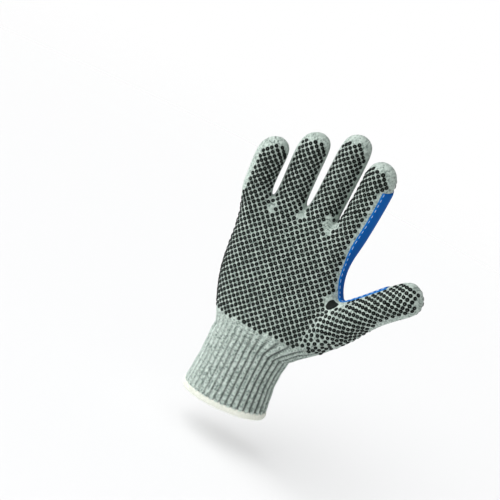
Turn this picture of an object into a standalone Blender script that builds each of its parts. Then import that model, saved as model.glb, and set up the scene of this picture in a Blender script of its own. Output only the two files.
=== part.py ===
"""Right-hand dotted knit work glove, filled out as on a hand: palm to -Y, thumb to +X, fingers up."""

import math

import bmesh
import bpy
import numpy as np
from mathutils import Vector
from mathutils.bvhtree import BVHTree

# Driving sizes, in metres.
PALM_WIDTH = 0.100
PALM_DEPTH = 0.050
HAND_LENGTH = 0.200
CLOTH_THICKNESS = 0.0018
CUFF_LENGTH = 0.056
CUFF_WIDTH = 0.0705
CUFF_DEPTH = 0.0485
CUFF_THICKNESS = 0.0018
CUFF_FLARE = 0.0016
RIB_COUNT = 38
RIB_DEPTH = 0.0009
HEM_HEIGHT = 0.0046
HEM_THICKNESS = 0.0032
HEM_RISE = 0.0070
HEM_DIP = 0.0016
STRIP_WIDTH = 0.0170
STRIP_THICKNESS = 0.0009
PAD_WIDTH = 0.0092
PAD_THICKNESS = 0.0008
CLEARANCE = 0.0003

# Places in the tables are percentages: across of PALM_WIDTH, forward and back of PALM_DEPTH
# (minus is the palm side), up of HAND_LENGTH, counted from the wrist seam.
PALM_ROW = (
    "up", "left", "right", "front_little", "front_mid", "front_thumb",
    "back_little", "back_mid", "back_thumb", "finger_spacing",
)
PALM_ROWS = (
    (0.0, -36.2, 34.2, -47, -47.5, -47, 47, 47.5, 47, 0.0),
    (2.5, -38.0, 39.0, -47, -47.5, -49, 44, 47, 43, 0.0),
    (8.0, -43.4, 51.0, -48, -47.0, -54, 40, 46, 38, 0.1),
    (19.5, -52.6, 55.0, -50, -42.0, -54, 33, 44, 32, 0.3),
    (31.5, -56.0, 52.0, -50, -38.0, -42, 26, 42, 33, 0.6),
    (39.5, -57.4, 47.6, -50, -35.0, -34, 20, 40, 37, 0.8),
    (47.5, -60.0, 45.4, -50, -31.0, -31, 13, 38, 35, 1.0),
)
MOUTH_FIRST_ROW = 2
KNUCKLE_UP = 55.5

# Turn: degrees that the finger's front faces towards the thumb side.
FINGER = ("across", "forward", "length", "radius", "tip_radius", "lean", "turn", "curl", "hook")
FINGERS = {
    "little": (-52.6, -20.0, 25.0, 12.0, 12.9, -4.6, 27, 10, 3.0),
    "ring": (-25.6, -0.5, 34.0, 12.7, 13.1, -3.4, 15, 10, 3.0),
    "middle": (2.6, 8.0, 40.8, 13.0, 13.0, 0.4, 3, 9, 1.0),
    "index": (31.8, 3.0, 35.9, 13.2, 13.5, 3.6, -13, 10, -1.6),
}
FINGER_STATIONS = (0.20, 0.46, 0.73, 1.0)
WEBS_UP = (57.5, 61.5, 63.0)

# Thumb rings from the palm to the tip. Lean is the tilt of the ring's upper side, sag pulls
# its front and back towards the palm.
THUMB_RING = ("across", "forward", "up", "width", "depth", "lean", "turn", "roll", "sag")
THUMB_RINGS = (
    (52.5, -11, 20.6, 25.0, 17.5, 5, -16, 14, 6.0),
    (65.0, -17, 27.4, 18.6, 16.6, 27, -14, 14, 2.5),
    (76.6, -23, 36.0, 14.0, 14.4, 38, -12, 14, 0.5),
    (89.2, -30, 43.1, 13.8, 14.0, 43, -10, 14, 0.0),
    (101.4, -36, 48.8, 14.2, 14.0, 43, -10, 14, 0.0),
    (108.2, -40, 52.2, 11.4, 11.2, 42, -10, 14, 0.0),
)
THUMB_TIP = (113.6, -42, 54.6)

# Shares of the index finger and of a thumb segment where the strip starts and ends.
STRIP_TOP = 0.74
STRIP_END = 0.15
STRIP_ROWS = 46
PAD_PLACE = (46.6, -150.0, 31.6)

# Ring sizes are of a coarse cage; smoothing draws it in by this much.
CAGE_SWELL = 1.09


def clearScene():
    for thing in list(bpy.data.objects):
        bpy.data.objects.remove(thing, do_unlink=True)


def material(name, colour, roughness):
    made = bpy.data.materials.new(name)
    made.use_nodes = True
    shader = made.node_tree.nodes["Principled BSDF"]
    shader.inputs["Base Color"].default_value = (*colour, 1.0)
    shader.inputs["Roughness"].default_value = roughness
    return made


def body(name, points, faces, surface):
    mesh = bpy.data.meshes.new(name)
    mesh.from_pydata([tuple(p) for p in points], [], faces)
    shape = bmesh.new()
    shape.from_mesh(mesh)
    bmesh.ops.recalc_face_normals(shape, faces=shape.faces)
    shape.to_mesh(mesh)
    shape.free()
    mesh.shade_smooth()
    thing = bpy.data.objects.new(name, mesh)
    thing.data.materials.append(surface)
    bpy.context.scene.collection.objects.link(thing)
    return thing


def at(across, forward, up):
    return np.array(
        (across * PALM_WIDTH, forward * PALM_DEPTH, CUFF_LENGTH * 100 + up * HAND_LENGTH)
    ) / 100


def named(columns, row):
    return dict(zip(columns, row))


def rotated(vector, axis, degrees):
    """The vector turned about the axis."""
    a = math.radians(degrees)
    return (
        vector * math.cos(a)
        + np.cross(axis, vector) * math.sin(a)
        + axis * np.dot(axis, vector) * (1 - math.cos(a))
    )


def octagon(centre, front, side, depth, width):
    """Eight points: front left, front, front right, right, back right, back, back left, left."""
    d = math.sqrt(0.5)
    spots = ((-d, d), (0, 1), (d, d), (1, 0), (d, -d), (0, -1), (-d, -d), (-1, 0))
    return [centre + side * width * s + front * depth * f for s, f in spots]


class Cage:
    """Quad cage that grows by rings of point numbers."""

    def __init__(self):
        self.points = []
        self.faces = []

    def add(self, point):
        self.points.append(point)
        return len(self.points) - 1

    def bridge(self, lower, upper, skip=()):
        count = len(lower)
        for k in range(count):
            if k not in skip:
                n = (k + 1) % count
                self.faces.append((lower[k], lower[n], upper[n], upper[k]))

    def cap(self, ring, pole):
        top = self.add(pole)
        for k in range(0, len(ring), 2):
            self.faces.append((top, ring[k], ring[k + 1], ring[(k + 2) % len(ring)]))


def fingerFrame(finger):
    """Direction, front and side of a finger at its root."""
    lean, turn = math.radians(finger["lean"]), finger["turn"]
    up = np.array((math.sin(lean), 0, math.cos(lean)))
    front = rotated(np.array((0, -1.0, 0)), np.array((0, 0, 1.0)), turn)
    front = front - up * np.dot(front, up)
    front /= np.linalg.norm(front)
    return up, front, np.cross(up, front)


def palmRing(row, spacing):
    """Nine front points, the thumb side, nine back points and the little-finger side."""
    left, right = row["left"], row["right"]
    middle, half = (left + right) / 2, (right - left) / 2
    front, back = [], []
    for k in range(9):
        even = math.sin(math.radians(18 * (k - 4)))
        share = even + (spacing[k] - even) * row["finger_spacing"]
        edge = math.sqrt(max(0.0, 1 - abs(share) ** 2.15))
        blend = (share + 0.85) / 1.7
        weights = (
            2 * (blend - 0.5) * (blend - 1), 4 * blend * (1 - blend), 2 * blend * (blend - 0.5)
        )
        f = sum(w * row[n] for w, n in zip(weights, ("front_little", "front_mid", "front_thumb")))
        b = sum(w * row[n] for w, n in zip(weights, ("back_little", "back_mid", "back_thumb")))
        core = (f + b) / 2
        across = middle + half * share
        front.append(at(across, core + (f - core) * edge, row["up"]))
        back.append(at(across, core + (b - core) * edge, row["up"]))
    sideL = (row["front_little"] + row["back_little"]) / 2
    sideR = (row["front_thumb"] + row["back_thumb"]) / 2
    return front + [at(right, sideR, row["up"])] + back[::-1] + [at(left, sideL, row["up"])]


def knuckleRing(fingers):
    """The palm's last ring, shaped by the roots of the four fingers."""
    front, back = [], []
    corner = math.sqrt(0.5)
    for k, finger in enumerate(fingers):
        centre = at(finger["across"], finger["forward"], KNUCKLE_UP)
        up, ahead, side = fingerFrame(finger)
        reach = finger["radius"] / 100 * PALM_WIDTH * CAGE_SWELL
        if k == 0:
            front.append(centre + (ahead - side) * reach * corner)
            back.append(centre - (ahead + side) * reach * corner)
        front.append(centre + ahead * reach)
        back.append(centre - ahead * reach * 1.04)
        if k < 3:
            following = fingers[k + 1]
            middle = (centre + at(following["across"], following["forward"], KNUCKLE_UP)) / 2
            out = ahead + fingerFrame(following)[1]
            out /= np.linalg.norm(out)
            front.append(middle + out * reach * 0.84)
            back.append(middle - out * reach * 0.88)
        else:
            front.append(centre + (ahead + side) * reach * corner)
            back.append(centre - (ahead - side) * reach * corner)
            right = centre + side * reach
    first = fingers[0]
    left = at(first["across"], first["forward"], KNUCKLE_UP)
    left = left - fingerFrame(first)[2] * first["radius"] / 100 * PALM_WIDTH * CAGE_SWELL
    return front + [right] + back[::-1] + [left]


def curlShare(share):
    """How far a finger has bent forward along its length: a little back first, then forward."""
    return share * share - 0.4 * share


def growFinger(cage, finger, root):
    """Adds the finger's rings on its root ring, and closes the tip."""
    up, front, side = fingerFrame(finger)
    base = at(finger["across"], finger["forward"], KNUCKLE_UP)
    length = finger["length"] / 100 * HAND_LENGTH
    wide = PALM_WIDTH / 100
    dome = finger["tip_radius"] * wide
    curl = finger["curl"] / 100 * PALM_WIDTH
    hook = finger["hook"] * wide

    def centreAt(distance, sideways=0.0):
        share = distance / length
        return base + up * distance + front * curl * curlShare(share) + side * hook * sideways

    def ringAt(distance, radius, sideways=0.0):
        step = length * 0.02
        along = centreAt(distance + step) - centreAt(distance - step)
        along /= np.linalg.norm(along)
        ahead = front - along * np.dot(front, along)
        ahead /= np.linalg.norm(ahead)
        centre = centreAt(distance, sideways)
        return octagon(centre, ahead, np.cross(along, ahead), radius, radius)

    lower = root
    for share in FINGER_STATIONS:
        radius = (finger["radius"] + (finger["tip_radius"] - finger["radius"]) * share) * wide
        points = ringAt((length - dome) * share, radius * CAGE_SWELL, 0.3 * max(0, share - 0.7))
        ring = [cage.add(p) for p in points]
        cage.bridge(lower, ring)
        lower = ring
    ring = [cage.add(p) for p in ringAt(length - dome * 0.30, dome * 0.78 * CAGE_SWELL, 0.6)]
    cage.bridge(lower, ring)
    cage.cap(ring, centreAt(length + dome * 0.27, 1.0))


def thumbRing(row):
    """Eight points, from the lower front through the front, the upper side and the back to the lower side."""
    lean, turn = math.radians(row["lean"]), math.radians(row["turn"])
    upper = np.array((-math.sin(lean), 0, math.cos(lean)))
    front = np.array((math.sin(turn), -math.cos(turn), 0))
    front = front - upper * np.dot(front, upper)
    front /= np.linalg.norm(front)
    travel = np.cross(upper, front)
    upper, front = (rotated(v, travel, -row["roll"]) for v in (upper, front))
    wide = PALM_WIDTH / 100
    centre = at(row["across"], row["forward"], row["up"])
    swell = wide * CAGE_SWELL
    points = octagon(centre, front, upper, row["depth"] * swell, row["width"] * swell)
    for k in (0, 1, 2, 4, 5, 6):
        points[k] = points[k] - travel * row["sag"] * wide * (1 if k in (1, 5) else 0.6)
    return points


def handCage():
    cage = Cage()
    fingers = [named(FINGER, FINGERS[n]) for n in ("little", "ring", "middle", "index")]
    knuckle = knuckleRing(fingers)
    first, last = knuckle[19][0], knuckle[9][0]
    spacing = [(2 * p[0] - first - last) / (last - first) for p in knuckle[:9]]
    rows = [palmRing(named(PALM_ROW, row), spacing) for row in PALM_ROWS] + [knuckle]
    mouth = thumbRing(named(THUMB_RING, THUMB_RINGS[0]))
    low, mid, high = (MOUTH_FIRST_ROW + k for k in range(3))
    rows[low][8], rows[mid][8], rows[high][8], rows[high][9] = mouth[0], mouth[1], mouth[2], mouth[3]
    rows[high][10], rows[mid][10], rows[low][10], rows[low][9] = mouth[4], mouth[5], mouth[6], mouth[7]
    numbers = []
    for k, row in enumerate(rows):
        numbers.append([cage.add(p) if (k, j) != (mid, 9) else None for j, p in enumerate(row)])
    for k in range(len(rows) - 1):
        skip = (8, 9) if k in (low, mid) else ()
        cage.bridge(numbers[k], numbers[k + 1], skip)
    growThumb(cage, [
        numbers[low][8], numbers[mid][8], numbers[high][8], numbers[high][9],
        numbers[high][10], numbers[mid][10], numbers[low][10], numbers[low][9],
    ])
    growFingers(cage, fingers, numbers[-1])
    return cage


def growThumb(cage, root):
    lower = root
    for row in THUMB_RINGS[1:]:
        ring = [cage.add(p) for p in thumbRing(named(THUMB_RING, row))]
        cage.bridge(lower, ring)
        lower = ring
    cage.cap(lower, at(*THUMB_TIP))


def growFingers(cage, fingers, top):
    """Joins front and back of the knuckle ring by a web between fingers, then grows each finger."""
    webs = []
    for k in range(3):
        front, back = cage.points[top[2 * k + 2]], cage.points[top[16 - 2 * k]]
        middle = (front + back) / 2
        middle[2] = at(0, 0, WEBS_UP[k])[2]
        webs.append(cage.add(middle))
    for k, finger in enumerate(fingers):
        left = webs[k - 1] if k else top[19]
        right = webs[k] if k < 3 else top[9]
        f, b = 2 * k, 18 - 2 * k
        root = [top[f], top[f + 1], top[f + 2], right, top[b - 2], top[b - 1], top[b], left]
        growFinger(cage, finger, root)


def knitHand():
    cage = handCage()
    cloth = material("hand_knit", (0.50, 0.55, 0.52), 0.9)
    hand = body("knit_hand", cage.points, cage.faces, cloth)
    smooth = hand.modifiers.new("smooth", "SUBSURF")
    smooth.levels = smooth.render_levels = 1
    surface = BVHTree.FromObject(hand, bpy.context.evaluated_depsgraph_get())
    wall = hand.modifiers.new("wall", "SOLIDIFY")
    wall.thickness = CLOTH_THICKNESS
    wall.offset = -1
    wall.use_even_offset = True
    return surface


def cuffShape(up):
    """Centre across, half width and half depth of the cuff at a height."""
    top = named(PALM_ROW, PALM_ROWS[0])
    share = up / CUFF_LENGTH
    drift = (top["left"] + top["right"]) / 200 * PALM_WIDTH * share
    waist = 0.35 * math.sin(math.pi * min(1.0, max(0.0, share)))
    flare = CUFF_FLARE * (max(0.0, 1 - share) ** 1.6 - waist)
    return drift, CUFF_WIDTH / 2 + flare, CUFF_DEPTH / 2 + flare


def hemUp(angle):
    """Height of the cuff's end, which slants up to the thumb side and the back."""
    return HEM_RISE / 2 * math.sin(angle) - HEM_DIP * math.cos(angle)


def onCuff(angle, up, inset):
    drift, wide, deep = cuffShape(up)
    return np.array((drift + (wide - inset) * math.sin(angle), -(deep - inset) * math.cos(angle), up))


def evenAngles(count):
    """Angles that part the cuff's outline in equal lengths, starting at the palm side."""
    fine = np.linspace(0, 2 * math.pi, 2881)
    spots = np.array([onCuff(a, CUFF_LENGTH / 2, 0)[:2] for a in fine])
    length = np.concatenate([[0], np.cumsum(np.linalg.norm(np.diff(spots, axis=0), axis=1))])
    return np.interp(np.arange(count) / count * length[-1], length, fine)


def tube(name, rings, surface, around):
    """Closed body from rings of points that are joined one to the next, the last to the first."""
    points = [p for ring in rings for p in ring]
    faces = []
    for r in range(len(rings)):
        s = (r + 1) % len(rings)
        for k in range(around):
            n = (k + 1) % around
            faces.append((r * around + k, r * around + n, s * around + n, s * around + k))
    return body(name, points, faces, surface)


def ribCuff():
    """Tube whose outer and inner walls both follow the ribs."""
    around = RIB_COUNT * 3
    angles = evenAngles(around)
    groove = [RIB_DEPTH if k % 3 == 0 else 0.0 for k in range(around)]

    def ring(share, inset):
        fade = 1 - 0.55 * max(0.0, (share - 0.8) / 0.2)
        points = []
        for angle, dent in zip(angles, groove):
            low = hemUp(angle) + HEM_HEIGHT + CLEARANCE
            up = low + (CUFF_LENGTH - CLEARANCE * 1.8 - low) * share
            points.append(onCuff(angle, up, inset + dent * fade * (1 if inset == 0 else 0.6)))
        return points

    shares = (0.0, 0.22, 0.45, 0.68, 0.86, 1.0)
    rings = [ring(s, 0.0) for s in shares] + [ring(s, CUFF_THICKNESS) for s in shares[::-1]]
    return tube("rib_cuff", rings, material("cuff_knit", (0.52, 0.57, 0.54), 0.9), around)


def hemEdge():
    around = RIB_COUNT * 2
    angles = evenAngles(around)
    middle, half = (CUFF_THICKNESS + RIB_DEPTH * 0.5) / 2, HEM_THICKNESS / 2
    section = ((-1, 0.3), (-1, 0.7), (-0.55, 1), (0.55, 1), (1, 0.7), (1, 0.3), (0.5, 0), (-0.5, 0))
    rings = []
    for out, share in section:
        rings.append([onCuff(a, hemUp(a) + HEM_HEIGHT * share, middle + half * out) for a in angles])
    return tube("hem_edge", rings, material("hem_yarn", (0.88, 0.88, 0.84), 0.85), around)


def nearest(surface, point):
    spot, normal = surface.find_nearest(Vector(point))[:2]
    return np.array(spot), np.array(normal)


def smoothPath(knots, count):
    """Even points on a rounded line through the knots."""
    knots = [2 * knots[0] - knots[1]] + knots + [2 * knots[-1] - knots[-2]]
    fine = []
    for a, b, c, d in zip(knots, knots[1:], knots[2:], knots[3:]):
        for t in np.arange(16) / 16:
            bend = (2 * a - 5 * b + 4 * c - d) * t * t + (3 * b - a - 3 * c + d) * t**3
            fine.append(0.5 * (2 * b + (c - a) * t + bend))
    fine = np.array(fine + [knots[-2]])
    length = np.concatenate([[0], np.cumsum(np.linalg.norm(np.diff(fine, axis=0), axis=1))])
    even = np.linspace(0, length[-1], count)
    return [np.array([np.interp(e, length, fine[:, j]) for j in range(3)]) for e in even]


def stripKnots():
    """Middle of the strip: down the index finger's thumb side, through the crotch, up the thumb."""
    finger = named(FINGER, FINGERS["index"])
    up, front, side = fingerFrame(finger)
    root = at(finger["across"], finger["forward"], KNUCKLE_UP) + side * 0.013
    length = finger["length"] / 100 * HAND_LENGTH
    curl = finger["curl"] / 100 * PALM_WIDTH
    knots = []
    for share in (STRIP_TOP, 0.5, 0.25, 0.0):
        knots.append(root + up * length * share + front * curl * curlShare(share))
    for row in (PALM_ROWS[6], PALM_ROWS[5]):
        row = named(PALM_ROW, row)
        knots.append(at(row["right"], (row["front_thumb"] + row["back_thumb"]) / 2, row["up"]))
    rings = [thumbRing(named(THUMB_RING, row))[3] for row in THUMB_RINGS[:5]]
    knots.append(rings[0] + np.array((0, 0.003, 0.006)))
    return knots + rings[1:4] + [rings[3] + (rings[4] - rings[3]) * STRIP_END]


def crotchStrip(surface):
    """Band laid on the cloth; each row is walked out sideways from its middle, then evened."""
    middles = [nearest(surface, p) for p in smoothPath(stripKnots(), STRIP_ROWS)]
    steps, stride = 4, STRIP_WIDTH / 8
    rows = []
    for k, (spot, normal) in enumerate(middles):
        along = middles[min(k + 1, len(middles) - 1)][0] - middles[max(k - 1, 0)][0]
        row = {0: (spot, normal)}
        for way in (-1, 1):
            here, lift = spot, normal
            for step in range(1, steps + 1):
                across = np.cross(along, lift)
                across /= np.linalg.norm(across)
                here, lift = nearest(surface, here + across * stride * way)
                row[way * step] = (here, lift)
        rows.append([row[j][0] for j in range(-steps, steps + 1)])
    grid = np.array(rows)
    for _ in range(6):
        grid[1:-1] = (grid[:-2] + 2 * grid[1:-1] + grid[2:]) / 4
    laid = [[nearest(surface, p) for p in row] for row in grid]
    under = [[p + n * CLEARANCE * 1.5 for p, n in row] for row in laid]
    over = [[p + n * (CLEARANCE * 1.5 + STRIP_THICKNESS) for p, n in row] for row in laid]
    return slab("crotch_strip", under, over, material("strip_cloth", (0.01, 0.09, 0.35), 0.7))


def slab(name, under, over, surface):
    """Closed body between two grids of points."""
    rows, columns = len(under), len(under[0])
    points = [p for grid in (under, over) for row in grid for p in row]
    top = rows * columns
    faces = []
    for r in range(rows - 1):
        for c in range(columns - 1):
            a = r * columns + c
            quad = (a, a + 1, a + columns + 1, a + columns)
            faces += [quad[::-1], tuple(top + q for q in quad)]
    edge = [c for c in range(columns)] + [r * columns + columns - 1 for r in range(1, rows)]
    edge += [(rows - 1) * columns + c for c in range(columns - 2, -1, -1)]
    edge += [r * columns for r in range(rows - 2, 0, -1)]
    for k, a in enumerate(edge):
        b = edge[(k + 1) % len(edge)]
        faces.append((a, b, b + top, a + top))
    return body(name, points, faces, surface)


def crotchPad(surface):
    """Rounded triangle, point down, domed over its middle."""
    aim = at(*PAD_PLACE)
    centre, normal = (np.array(v) for v in surface.ray_cast(Vector(aim), Vector((0, 1, 0)))[:2])
    right = np.cross(np.array((0, 0, 1.0)), normal)
    right /= np.linalg.norm(right)
    up = np.cross(normal, right)
    around, shares = 24, (1.0, 0.66, 0.33)
    half = PAD_WIDTH / 2
    layers = []
    for height in (0, 1):
        rings = []
        for share in shares:
            ring = []
            for k in range(around):
                a = 2 * math.pi * k / around
                reach = half * share * (1 + 0.10 * math.sin(3 * a)) * 0.96
                spot, lift = nearest(surface, centre + right * math.cos(a) * reach + up * math.sin(a) * reach)
                lift = (lift + 3 * normal) / np.linalg.norm(lift + 3 * normal)
                rise = PAD_THICKNESS * (0.35 + 0.65 * math.sqrt(1 - share * share)) if height else 0
                ring.append(spot + lift * (CLEARANCE * 1.3 + rise))
            rings.append(ring)
        layers.append((rings, centre + normal * (CLEARANCE * 1.3 + (PAD_THICKNESS if height else 0))))
    points, faces = [], []
    for height, (rings, peak) in enumerate(layers):
        start = len(points)
        points += [p for ring in rings for p in ring] + [peak]
        top = start + around * len(shares)
        for k in range(around):
            n = (k + 1) % around
            for r in range(len(shares) - 1):
                a, b = start + r * around, start + (r + 1) * around
                faces.append((a + k, a + n, b + n, b + k))
            inner = start + (len(shares) - 1) * around
            faces.append((inner + k, inner + n, top))
    other = around * len(shares) + 1
    for k in range(around):
        n = (k + 1) % around
        faces.append((k, n, other + n, other + k))
    return body("crotch_pad", points, faces, material("pad_print", (0.010, 0.014, 0.012), 0.45))


clearScene()
cloth = knitHand()
ribCuff()
hemEdge()
crotchStrip(cloth)
crotchPad(cloth)
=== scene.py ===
import math

import bmesh
import bpy
import numpy as np
from mathutils import Matrix, Vector
from mathutils.bvhtree import BVHTree
from mathutils.kdtree import KDTree


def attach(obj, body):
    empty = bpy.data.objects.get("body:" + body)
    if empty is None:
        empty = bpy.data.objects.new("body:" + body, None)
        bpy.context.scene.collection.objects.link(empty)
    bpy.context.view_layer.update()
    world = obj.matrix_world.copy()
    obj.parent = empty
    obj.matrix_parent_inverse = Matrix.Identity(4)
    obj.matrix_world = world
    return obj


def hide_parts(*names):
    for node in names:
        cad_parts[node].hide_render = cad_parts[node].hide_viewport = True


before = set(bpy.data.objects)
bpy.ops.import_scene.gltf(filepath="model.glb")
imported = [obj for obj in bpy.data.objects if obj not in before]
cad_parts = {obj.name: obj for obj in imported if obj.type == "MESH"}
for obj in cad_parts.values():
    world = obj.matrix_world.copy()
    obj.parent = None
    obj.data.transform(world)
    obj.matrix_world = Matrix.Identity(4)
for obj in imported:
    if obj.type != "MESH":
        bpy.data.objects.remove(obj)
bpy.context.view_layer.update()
scene = bpy.context.scene
random = np.random.default_rng(7)
millimetre = 0.001


def unit(vector):
    return vector / np.linalg.norm(vector)


def rotated(vector, axis, degrees):
    a = math.radians(degrees)
    return (
        vector * math.cos(a)
        + np.cross(axis, vector) * math.sin(a)
        + axis * np.dot(axis, vector) * (1 - math.cos(a))
    )


def smoothStep(low, high, value):
    share = np.clip((value - low) / (high - low), 0.0, 1.0)
    return share * share * (3 - 2 * share)


def newObject(name, points, faces, material):
    mesh = bpy.data.meshes.new(name)
    mesh.from_pydata([tuple(p) for p in points], [], [tuple(f) for f in faces])
    mesh.shade_smooth()
    mesh.materials.append(material)
    thing = bpy.data.objects.new(name, mesh)
    scene.collection.objects.link(thing)
    return thing


def finishPiece(thing, slot, *nodes):
    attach(thing, "root")
    if nodes:
        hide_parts(*nodes)
    return thing


def setCornerMap(mesh, name, values):
    layer = mesh.uv_layers.new(name=name)
    layer.data.foreach_set("uv", np.asarray(values, dtype=np.float32).ravel())


def outward(mesh):
    shape = bmesh.new()
    shape.from_mesh(mesh)
    bmesh.ops.recalc_face_normals(shape, faces=shape.faces)
    shape.to_mesh(mesh)
    shape.free()


# Short way to wire shader nodes.
class Nodes:

    def __init__(self, name):
        self.material = bpy.data.materials.new(name)
        self.material.use_nodes = True
        self.tree = self.material.node_tree
        self.shader = self.tree.nodes["Principled BSDF"]

    def add(self, kind, inputs=None, **settings):
        node = self.tree.nodes.new("ShaderNode" + kind)
        for key, value in settings.items():
            setattr(node, key, value)
        for key, value in (inputs or {}).items():
            self.put(node.inputs[key], value)
        return node

    def put(self, socket, value):
        if isinstance(value, bpy.types.NodeSocket):
            self.tree.links.new(value, socket)
        else:
            socket.default_value = value

    def math(self, operation, a, b=0.0, clamp=False):
        node = self.add("Math", {0: a, 1: b}, operation=operation)
        node.use_clamp = clamp
        return node.outputs[0]

    def split(self, mapName):
        place = self.add("UVMap", uv_map=mapName).outputs[0]
        parts = self.add("SeparateXYZ", {0: place})
        return parts.outputs[0], parts.outputs[1]

    def joined(self, x, y, z=0.0):
        return self.add("CombineXYZ", {0: x, 1: y, 2: z}).outputs[0]

    def noise(self, place, scale, detail=2.0, rough=0.5):
        node = self.add("TexNoise", {"Vector": place, "Scale": scale, "Detail": detail, "Roughness": rough})
        return node.outputs[0]

    def ramp(self, value, low, high):
        inputs = {0: value, 1: low, 2: high, 3: 0.0, 4: 1.0}
        return self.add("MapRange", inputs, interpolation_type="SMOOTHSTEP").outputs[0]

    def mix(self, share, first, second, mode="MIX"):
        node = self.add("Mix", data_type="RGBA", blend_type=mode)
        self.put(node.inputs[0], share)
        self.put(node.inputs[6], first if not isinstance(first, tuple) else (*first, 1.0))
        self.put(node.inputs[7], second if not isinstance(second, tuple) else (*second, 1.0))
        return node.outputs[2]

    def bump(self, height, distance, strength=1.0, below=None):
        node = self.add("Bump", {"Height": height, "Distance": distance, "Strength": strength})
        if below is not None:
            self.put(node.inputs["Normal"], below)
        return node.outputs[0]


knitLook = {
    "wale": 1.45, "course": 1.05,  # loop size, mm
    "light": (0.47, 0.575, 0.515), "dark": (0.14, 0.195, 0.168), "pale": (0.65, 0.755, 0.69),
    # gapShade is painted shade in the gaps between the yarn loops.
    "gapShade": (0.07, 0.10, 0.085), "gapShadeShare": 0.74,
    # groove is painted shade for the cuff's rib grooves.
    "patch": (0.38, 0.45, 0.41), "patchShare": 0.14, "groove": (0.030, 0.044, 0.037),
    "relief": 0.00046, "roughness": 0.92, "sheen": 0.25,
}


# Height of the V loops, columns with two slanting legs, and a chance shade for each loop.
def knitLoops(nodes, across, along):
    column = nodes.math("DIVIDE", across, knitLook["wale"])
    out = nodes.math("ABSOLUTE", nodes.math("SUBTRACT", nodes.math("FRACT", column), 0.5))
    climb = nodes.math("MULTIPLY", out, 1.7)
    course = nodes.math("ADD", nodes.math("DIVIDE", along, knitLook["course"]), climb)
    leg = nodes.math("ABSOLUTE", nodes.math("SINE", nodes.math("MULTIPLY", course, math.pi)))
    centre = nodes.math("ABSOLUTE", nodes.math("SUBTRACT", out, 0.25))
    yarnRound = nodes.math("SUBTRACT", 1.0, nodes.math("MULTIPLY", centre, 3.2), clamp=True)
    height = nodes.math("MULTIPLY", nodes.math("POWER", leg, 0.6), nodes.math("POWER", yarnRound, 0.7))
    loop = nodes.joined(nodes.math("FLOOR", column), nodes.math("FLOOR", course))
    shade = nodes.add("TexWhiteNoise", {"Vector": loop}, noise_dimensions="2D").outputs[0]
    return height, shade


def knitMaterial(name, mapName, ribbed=False):
    nodes = Nodes(name)
    across, along = nodes.split(mapName)
    loops, shade = knitLoops(nodes, across, along)
    marlPlace = nodes.joined(nodes.math("MULTIPLY", across, 0.62), nodes.math("MULTIPLY", along, 1.05))
    marl = nodes.noise(marlPlace, 1.9, 2.0, 0.6)
    fleck = nodes.noise(nodes.joined(nodes.math("MULTIPLY", across, 0.8), along, 7.3), 0.85, 1.0)
    broad = nodes.noise(nodes.joined(across, along, 3.1), 0.05, 2.0)
    shade = nodes.math("ADD", shade, nodes.math("MULTIPLY", nodes.math("SUBTRACT", marl, 0.5), 0.9))
    yarn = nodes.mix(nodes.ramp(shade, -0.02, 0.42), knitLook["dark"], knitLook["light"])
    yarn = nodes.mix(nodes.ramp(shade, 0.42, 0.85), yarn, knitLook["pale"])
    patch = nodes.math("MULTIPLY", nodes.ramp(broad, 0.35, 0.75), knitLook["patchShare"])
    yarn = nodes.mix(patch, yarn, knitLook["patch"])
    # Painted shade in the gaps between the yarn loops, its strength varied at random by the flecks.
    gapShade = nodes.math("SUBTRACT", 1.0, nodes.ramp(loops, 0.0, 0.50))
    flecked = nodes.math("MULTIPLY", nodes.ramp(fleck, 0.35, 0.60), knitLook["gapShadeShare"] * 0.6)
    gapShade = nodes.math("MULTIPLY", gapShade, nodes.math("ADD", flecked, knitLook["gapShadeShare"] * 0.4))
    colour = nodes.mix(gapShade, yarn, knitLook["gapShade"])
    if ribbed:
        # The ribbed knit gets painted shade in its rib grooves.
        colour = nodes.mix(ribGrooveShade(nodes, along), colour, knitLook["groove"])
    nodes.put(nodes.shader.inputs["Base Color"], colour)
    soft = nodes.bump(marl, 0.00016, 0.6)
    nodes.put(nodes.shader.inputs["Normal"], nodes.bump(loops, knitLook["relief"], 0.8, soft))
    nodes.shader.inputs["Roughness"].default_value = knitLook["roughness"]
    nodes.shader.inputs["Sheen Weight"].default_value = knitLook["sheen"]
    nodes.shader.inputs["Sheen Roughness"].default_value = 0.6
    return nodes.material


# Painted shade in the grooves between ribs and in rows of holes beside them, broken up by the loops that
# cross them.
def ribGrooveShade(nodes, along):
    share, fade = nodes.split("rib")
    place = nodes.math("FRACT", nodes.math("ADD", share, 0.5))
    away = nodes.math("ABSOLUTE", nodes.math("SUBTRACT", place, 0.5))
    inside = nodes.math("SUBTRACT", 1.0, nodes.ramp(away, 0.06, 0.24))
    rung = nodes.ramp(nodes.math("SINE", nodes.math("MULTIPLY", along, 2 * math.pi / 1.6)), 0.0, 0.8)
    holes = nodes.math("ABSOLUTE", nodes.math("SUBTRACT", away, 0.20))
    holes = nodes.math("MULTIPLY", nodes.math("SUBTRACT", 1.0, nodes.ramp(holes, 0.03, 0.11)), rung)
    rung = nodes.math("ADD", nodes.math("MULTIPLY", rung, 0.30), 0.62)
    dark = nodes.math("MULTIPLY", nodes.math("MULTIPLY", inside, rung), fade)
    even = nodes.math("MULTIPLY", nodes.ramp(fade, 0.0, 0.3), 0.75)
    return nodes.math("MAXIMUM", dark, nodes.math("MULTIPLY", holes, even))


def plainMaterial(name, colour, roughness, sheen=0.0, specular=0.5):
    nodes = Nodes(name)
    nodes.shader.inputs["Base Color"].default_value = (*colour, 1.0)
    nodes.shader.inputs["Roughness"].default_value = roughness
    nodes.shader.inputs["Sheen Weight"].default_value = sheen
    nodes.shader.inputs["Specular IOR Level"].default_value = specular
    return nodes


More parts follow.
